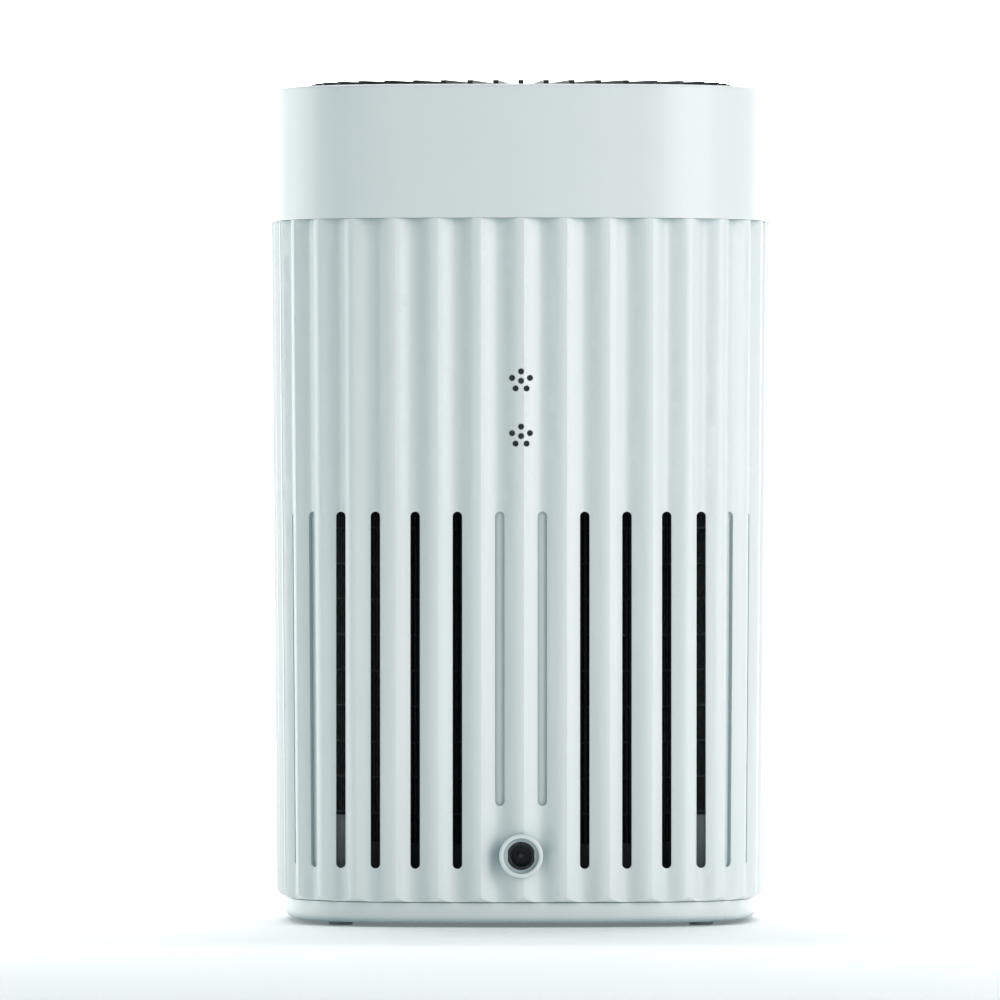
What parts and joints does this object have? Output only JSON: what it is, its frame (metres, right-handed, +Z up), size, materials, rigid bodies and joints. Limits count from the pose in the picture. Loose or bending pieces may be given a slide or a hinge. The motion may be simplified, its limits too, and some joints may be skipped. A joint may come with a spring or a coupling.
{
  "type": "air purifier",
  "caption": "Upright fluted air purifier with a rounded square body, slotted intake, smooth collar and a black radial outlet grille, drop-out filter underneath.",
  "frame": {"origin": "centre of the footprint on the surface the feet stand on", "axes": "+Z up, +Y towards the rear face with the power inlet, +X to the left seen from the rear"},
  "size_m": [0.215, 0.215, 0.3572],
  "materials": {
    "white_shell": "satin gloss, cool white",
    "foot_rubber": "matt grey",
    "screw_steel": "zinc plated",
    "filter_cap": "matt black",
    "filter_paper": "pleated filter paper",
    "prefilter_mesh": "dark nylon mesh",
    "carbon_felt": "carbon felt",
    "foam": "closed-cell foam",
    "webbing": "woven ribbon",
    "inner_plastic": "dark grey moulding",
    "black_plastic": "satin black",
    "impeller_plastic": "satin dark grey",
    "brass": "turned",
    "motor_can": "black e-coat",
    "lamination": "stacked laminations",
    "copper": "enamelled copper wire",
    "black_gloss": "gloss black",
    "light_lens": "milky lens",
    "white_button": "satin white",
    "circuit_board": "green solder mask",
    "nickel": "nickel plated",
    "sensor_case": "tinned steel",
    "lead_jacket": "PVC jacket"
  },
  "bodies": {
    "housing": {"fluted_housing": "white_shell", "top_collar": "white_shell", "base_plinth": "white_shell", "rubber_feet": "foot_rubber", "plinth_screws": "screw_steel", "fan_deck": "inner_plastic", "deck_screws": "screw_steel", "inlet_guard": "black_plastic", "fan_shroud": "inner_plastic", "motor_case": "motor_can", "motor_stator": "lamination", "motor_coils": "copper", "motor_bearings": "screw_steel", "motor_bracket": "inner_plastic", "motor_screws": "screw_steel", "outlet_grille": "black_plastic", "control_panel": "black_gloss", "light_ring": "light_lens", "control_board": "circuit_board", "dc_jack": "black_plastic", "jack_nut": "nickel", "main_board": "circuit_board", "board_bracket": "inner_plastic", "dust_sensor": "sensor_case", "sensor_seal": "foam", "power_lead": "lead_jacket", "motor_lead": "lead_jacket", "control_lead": "lead_jacket"},
    "fan": {"impeller": "impeller_plastic", "motor_shaft": "screw_steel", "impeller_nut": "brass"},
    "cartridge": {"filter_bottom_cap": "filter_cap", "filter_top_cap": "filter_cap", "filter_media": "filter_paper", "prefilter_sleeve": "prefilter_mesh", "carbon_core": "carbon_felt", "filter_gasket": "foam", "filter_pull_tab": "webbing", "filter_door": "white_shell"},
    "power_key": {"power_button": "white_button"},
    "speed_key": {"fan_speed_button": "white_button"}
  },
  "joints": [
    {"name": "fan_spin", "type": "hinge", "parent": "housing", "child": "fan", "pos_m": [0, 0, 0.25], "axis": [0, 0, 1], "continuous": true},
    {"name": "cartridge_drop", "type": "slide", "parent": "housing", "child": "cartridge", "axis": [0, 0, 1], "range_m": [-0.2, 0]},
    {"name": "power_press", "type": "slide", "parent": "housing", "child": "power_key", "axis": [0, 0, 1], "range_m": [-0.0008, 0], "stiffness_N_per_m": 1500, "springref_m": 0.0004},
    {"name": "speed_press", "type": "slide", "parent": "housing", "child": "speed_key", "axis": [0, 0, 1], "range_m": [-0.0008, 0], "stiffness_N_per_m": 1500, "springref_m": 0.0004}
  ]
}
